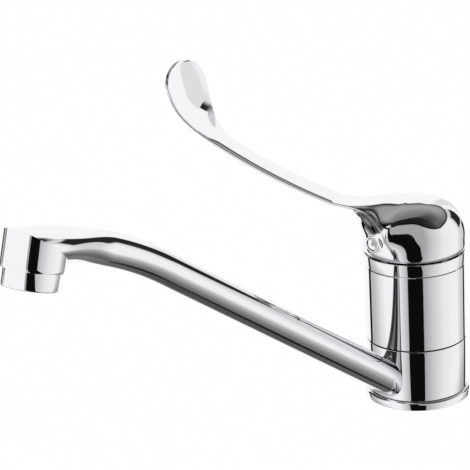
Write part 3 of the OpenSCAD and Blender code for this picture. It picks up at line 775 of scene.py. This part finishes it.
LENS, SENSOR = 122.55, 36
TARGET, DISTANCE = np.array([0.07735, 0.04113, 0.0882]), 0.7833
CAMERA_AZ, CAMERA_EL, CAMERA_ROLL = 118, 18.6, -3.5
lens = bpy.data.cameras.new("camera")
lens.sensor_width = SENSOR
lens.lens = LENS
camera = bpy.data.objects.new("camera", lens)
bpy.context.scene.collection.objects.link(camera)
camera.matrix_world = look(TARGET + DISTANCE * aim(CAMERA_AZ, CAMERA_EL), TARGET, CAMERA_ROLL)
bpy.context.scene.camera = camera
print("camera at", np.array(camera.matrix_world.translation).round(3))

# %% [markdown]
# ## Light: a world of nodes
#
# Chrome is photographed in a tent of white cloth, because it shows whatever stands round it. The tent
# could be modelled, with lamps behind the cloth. Here it's painted on the world: each ray that leaves the
# plating has a direction, and nodes turn that direction into the grey it meets. That renders clean, and
# each band is a few numbers. The node that does most of it is the colour ramp, which takes a place from 0
# to 1 and gives the grey between the stops on either side.

# %% light: nodes
# Places of a Mix node's colour sockets: three inputs and the output.
FACTOR, FIRST, SECOND, MIXED = 0, 6, 7, 2


def add(tree, kind, inputs, stops=(), **options):
    """New node: its options are set, its inputs set or linked, and a ramp's grey stops placed in order."""
    node = tree.nodes.new(kind)
    for option, value in options.items():
        setattr(node, option, value)
    for key, value in inputs.items():
        if isinstance(value, bpy.types.NodeSocket):
            tree.links.new(value, node.inputs[key])
        else:
            node.inputs[key].default_value = value
    for _ in stops[2:]:
        node.color_ramp.elements.new(0.5)
    for n, (place, grey) in enumerate(sorted(stops)):
        node.color_ramp.elements[n].position = place
        node.color_ramp.elements[n].color = (grey, grey, grey, 1)
    return node


world = bpy.data.worlds.new("white tent")
world.use_nodes = True
sky = world.node_tree
ray = add(sky, "ShaderNodeTexCoord", {}).outputs["Generated"]
azimuth = add(sky, "ShaderNodeTexGradient", {"Vector": ray}, gradient_type="RADIAL").outputs["Fac"]
print("world:", world.name)

# %% [markdown]
# ## Light: walls of the tent
#
# The cloth is greyer where it turns away from the lamps, and darker where things stand behind it. One
# picture wrapped round the scene could hold all that, but nothing in a picture can be moved by a number.
# So the walls have a grey for every azimuth, and soft spots darken them round a direction. A spot's ramp
# runs over the cosine of the angle to its middle, which is 1 right there.

# %% light: walls
WALLS = [(-172, 0.9), (-160, 0.95), (-140, 0.96), (-126, 0.7), (-106, 0.66), (-105, 1.0), (-16, 1.0),
         (-14, 0.6), (3, 0.7), (25, 0.97), (72, 0.97), (98, 0.4), (130, 0.4), (148, 0.62), (177, 0.88)]
# Azimuth and elevation of each spot's middle, and its stops over the cosine.
SPOTS = [
    (255, -68, [(0.66, 1.0), (0.71, 0.8), (0.755, 0.58), (0.82, 0.44), (0.87, 0.33), (0.94, 0.2),
                (1.0, 0.18)]),
    (5, -60, [(0.7, 1.0), (0.8, 0.7), (0.9, 0.4), (1.0, 0.35)]),
    (5, 25, [(0.78, 1.0), (0.88, 0.4), (0.95, 0.12), (1.0, 0.08)]),
    (0, -90, [(0.9, 1.0), (0.96, 0.8), (1.0, 0.5)]),
    (240, -71, [(0.993, 1.0), (0.9975, 0.1)]),
]


def all_round(stops):
    """Stops given by azimuth, placed on the radial gradient: a half at +X, growing by one a turn."""
    return [((azimuth / 360 + 0.5) % 1, grey) for azimuth, grey in stops]


tent = add(sky, "ShaderNodeValToRGB", {"Fac": azimuth}, all_round(WALLS)).outputs["Color"]
for spot_az, spot_el, stops in SPOTS:
    cosine = add(sky, "ShaderNodeVectorMath", {0: ray, 1: aim(spot_az, spot_el)}, operation="DOT_PRODUCT")
    grey = add(sky, "ShaderNodeValToRGB", {"Fac": cosine.outputs["Value"]}, stops).outputs["Color"]
    tent = add(sky, "ShaderNodeMix", {FACTOR: 1.0, FIRST: tent, SECOND: grey}, data_type="RGBA",
               blend_type="MULTIPLY").outputs[MIXED]
print("walls with", len(SPOTS), "spots")

# %% [markdown]
# ## Light: roof of the tent
#
# The lever and the dome look up, and in the photo they mirror a dark roof above white walls. A level edge
# between the two would be simplest, but the dome's bands then come out as rings. So the height where the
# roof begins changes with the azimuth, a first ramp shades the roof by the height above that edge, and a
# second by the azimuth.

# %% light: roof
EDGE = [(-160, 0.54), (-110, 0.57), (-90, 0.59), (-60, 0.59), (-20, 0.6), (0, 0.64), (30, 0.85), (50, 0.985),
        (108, 0.985), (118, 0.93), (127, 0.86), (136, 0.79), (150, 0.67), (165, 0.57), (179.9, 0.52),
        (-180, 0.52)]
ABOVE = [(0, 0.03), (0.03, 0.03), (0.06, 0.33), (0.2, 0.4), (0.4, 0.2), (1, 0.15)]
SHADE = [(-160, 0.35), (-110, 1.0), (-30, 1.0), (-12, 0.2), (0, 0.06), (20, 0.04), (140, 0.04), (165, 0.1),
         (179, 0.3)]
SOFT_LOW, SOFT_HIGH = -0.02, 0.01
ray_z = add(sky, "ShaderNodeSeparateXYZ", {"Vector": ray}).outputs["Z"]
edge_z = add(sky, "ShaderNodeValToRGB", {"Fac": azimuth}, all_round(EDGE)).outputs["Color"]
above_edge = add(sky, "ShaderNodeMath", {0: ray_z, 1: edge_z}, operation="SUBTRACT").outputs["Value"]
by_height = add(sky, "ShaderNodeValToRGB", {"Fac": above_edge}, ABOVE).outputs["Color"]
by_azimuth = add(sky, "ShaderNodeValToRGB", {"Fac": azimuth}, all_round(SHADE)).outputs["Color"]
roof = add(sky, "ShaderNodeMix", {FACTOR: 1.0, FIRST: by_height, SECOND: by_azimuth}, data_type="RGBA",
           blend_type="MULTIPLY").outputs[MIXED]
is_roof = add(sky, "ShaderNodeMapRange", {"Value": above_edge, "From Min": SOFT_LOW, "From Max": SOFT_HIGH})
tent = add(sky, "ShaderNodeMix", {FACTOR: is_roof.outputs["Result"], FIRST: tent, SECOND: roof},
           data_type="RGBA").outputs[MIXED]
print("roof begins at heights from", min(h for _, h in EDGE), "to", max(h for _, h in EDGE))

# %% [markdown]
# ## Light: dark bars, and what the camera sees
#
# Two bars draw the long black bands: a beam high over the lever's near side and a strip low behind the
# tap. They could be black boards in the scene, but boards would shade each other. On the world a bar is
# where a dark stretch of azimuth and a dark stretch of height meet: the lighter of the two ramps is dark
# only there. The camera sees plain white instead of the tent, as the light path tells its rays from those
# that left the plating.

# %% light: bars and world
BARS = [
    # The beam: its azimuths, then its heights.
    ([(-180, 1.0), (-12, 1.0), (-2, 0.02), (112, 0.02), (114, 1.0), (179.9, 1.0)],
     [(0.0, 1.0), (0.65, 1.0), (0.68, 0.02), (0.85, 0.02), (0.88, 1.0), (1.0, 1.0)]),
    # The strip: its azimuths, then its heights.
    ([(-180, 1.0), (-131, 1.0), (-127, 0.03), (-106, 0.03), (-104, 1.0), (179.9, 1.0)],
     [(0.0, 1.0), (0.02, 1.0), (0.045, 0.03), (0.42, 0.03), (0.48, 1.0), (1.0, 1.0)]),
]
WHITE = (1, 1, 1, 1)
for azimuths, heights in BARS:
    bar_az = add(sky, "ShaderNodeValToRGB", {"Fac": azimuth}, all_round(azimuths)).outputs["Color"]
    bar_z = add(sky, "ShaderNodeValToRGB", {"Fac": ray_z}, heights).outputs["Color"]
    bar = add(sky, "ShaderNodeMix", {FACTOR: 1.0, FIRST: bar_az, SECOND: bar_z}, data_type="RGBA",
              blend_type="LIGHTEN").outputs[MIXED]
    tent = add(sky, "ShaderNodeMix", {FACTOR: 1.0, FIRST: tent, SECOND: bar}, data_type="RGBA",
               blend_type="MULTIPLY").outputs[MIXED]
seen = add(sky, "ShaderNodeLightPath", {}).outputs["Is Camera Ray"]
backdrop = add(sky, "ShaderNodeMix", {FACTOR: seen, FIRST: tent, SECOND: WHITE}, data_type="RGBA")
sky.links.new(backdrop.outputs[MIXED], sky.nodes["Background"].inputs["Color"])
bpy.context.scene.world = world
bpy.context.scene.view_settings.view_transform = "Standard"
print("world has", len(sky.nodes), "nodes")

# %% [markdown]
# ## Light: a card
#
# A world is endlessly far away, so its bands stand at the same angle for every piece. Bands that one
# piece has and its neighbour lacks need something near, which in a studio is a card on a stand. Area
# lamps could do the same, but they would also light the floor. A card here is a flat panel that glows
# with one grey and is seen only in the plating.


# %% light: a card
def glow(name, grey):
    """Material that shines with one grey value."""
    m = bpy.data.materials.new(name)
    m.use_nodes = True
    emission = add(m.node_tree, "ShaderNodeEmission", {"Color": (grey, grey, grey, 1)})
    output = m.node_tree.nodes["Material Output"]
    m.node_tree.links.new(emission.outputs["Emission"], output.inputs["Surface"])
    return m


def panel(name, corners, material):
    """Flat stage panel seen only in the plating."""
    mesh = bpy.data.meshes.new(name)
    mesh.from_pydata(np.asarray(corners, float).tolist(), [], [tuple(range(len(corners)))])
    mesh.materials.append(material)
    obj = bpy.data.objects.new(name, mesh)
    bpy.context.scene.collection.objects.link(obj)
    obj.visible_camera = False
    obj.visible_diffuse = False
    obj.visible_shadow = False
    print(name, "with", len(corners), "corners")


# Black velvet, grey card and white card: what the plating shows of them is one flat tone each.
black, light_grey, white = glow("black card", 0.004), glow("grey card", 0.8), glow("white card", 1.0)
print("cards of", black.name, light_grey.name, white.name)

# %% [markdown]
# ## Light: where the cards stand
#
# Black cards are openings in the tent: one for the camera, a slim one far beyond the lever, and a narrow
# one low behind the tap. White and light grey cards stand between single pieces and the dark parts of the
# tent: two behind the paddle, one behind the tap and one beyond the outlet head. Their corners could be
# dragged in the viewport, but a direction and a distance from the tap say more about what a card does.
# Lengths are in metres here.

# %% light: cards
CAP_HEIGHT = 0.09
OPENING = [(98, -66), (129, -66), (129, -22), (126, -14), (121, -6), (117, 1), (114, 10), (112.5, 22),
           (112, 52), (92, 60)]


def screen(a, b, low, high):
    """Corners of an upright panel from the plan point a to b."""
    return [(*a, low), (*b, low), (*b, high), (*a, high)]


def facing(azimuth, distance, width, low, high):
    """Corners of an upright panel that faces the tap's axis."""
    a = np.radians(azimuth)
    middle = distance * np.array([np.cos(a), np.sin(a)])
    half_side = np.array([-np.sin(a), np.cos(a)]) * width / 2
    return screen(middle - half_side, middle + half_side, low, high)


def as_seen(azimuth, distance, corners):
    """Corners (azimuth, elevation) as seen from the cap, on an upright plane across the azimuth."""
    a, e = np.radians(corners).T
    flat = distance / np.cos(a - np.radians(azimuth))
    return np.stack([flat * np.cos(a), flat * np.sin(a), CAP_HEIGHT + flat * np.tan(e)], 1)


panel("camera_opening", as_seen(113.5, 0.555, OPENING), black)
panel("slim_card_left", facing(-14, 1.6, 0.4, -0.7, 1.1), black)
panel("line_low", facing(251, 0.35, 0.075, -0.5, 0.08), black)
panel("paddle_grey", screen((-0.03, -0.16), (0.02, -0.175), 0.085, 0.21), light_grey)
panel("paddle_white", screen((0.02, -0.175), (0.4, -0.2), 0.085, 0.21), white)
panel("back_wall", screen((-0.09, -0.338), (0.9, -0.25), -0.5, 0.33), white)
panel("head_wall", screen((0.3, 0.25), (0.012, 0.49), 0.0, 0.26), white)

# %% [markdown]
# ## Floor
#
# The tap stands on paper so brightly lit that hardly any shadow is left on it. Strong lamps could burn it
# out, but they would show in the plating. So the paper is almost all glow, with a hundredth of a matte
# white that still takes a trace of shade, and only the camera sees it.

# %% floor
FLOOR_HALF, GLOW_SHARE = 3, 0.99
floor_mesh = bpy.data.meshes.new("floor")
plan = FLOOR_HALF * np.array([(-1, -1, 0), (1, -1, 0), (1, 1, 0), (-1, 1, 0)])
floor_mesh.from_pydata(plan.tolist(), [], [(0, 1, 2, 3)])
paper = shader("white paper", "#F4F4F4", Roughness=1)
nodes = paper.node_tree.nodes
emission = add(paper.node_tree, "ShaderNodeEmission", {}).outputs["Emission"]
matte = nodes["Principled BSDF"].outputs["BSDF"]
surface = add(paper.node_tree, "ShaderNodeMixShader", {"Fac": GLOW_SHARE, 1: matte, 2: emission})
paper.node_tree.links.new(surface.outputs["Shader"], nodes["Material Output"].inputs["Surface"])
floor_mesh.materials.append(paper)
floor = bpy.data.objects.new("floor", floor_mesh)
bpy.context.scene.collection.objects.link(floor)
floor.visible_glossy = False
floor.visible_diffuse = False
print("floor is", 2 * FLOOR_HALF, "m wide")
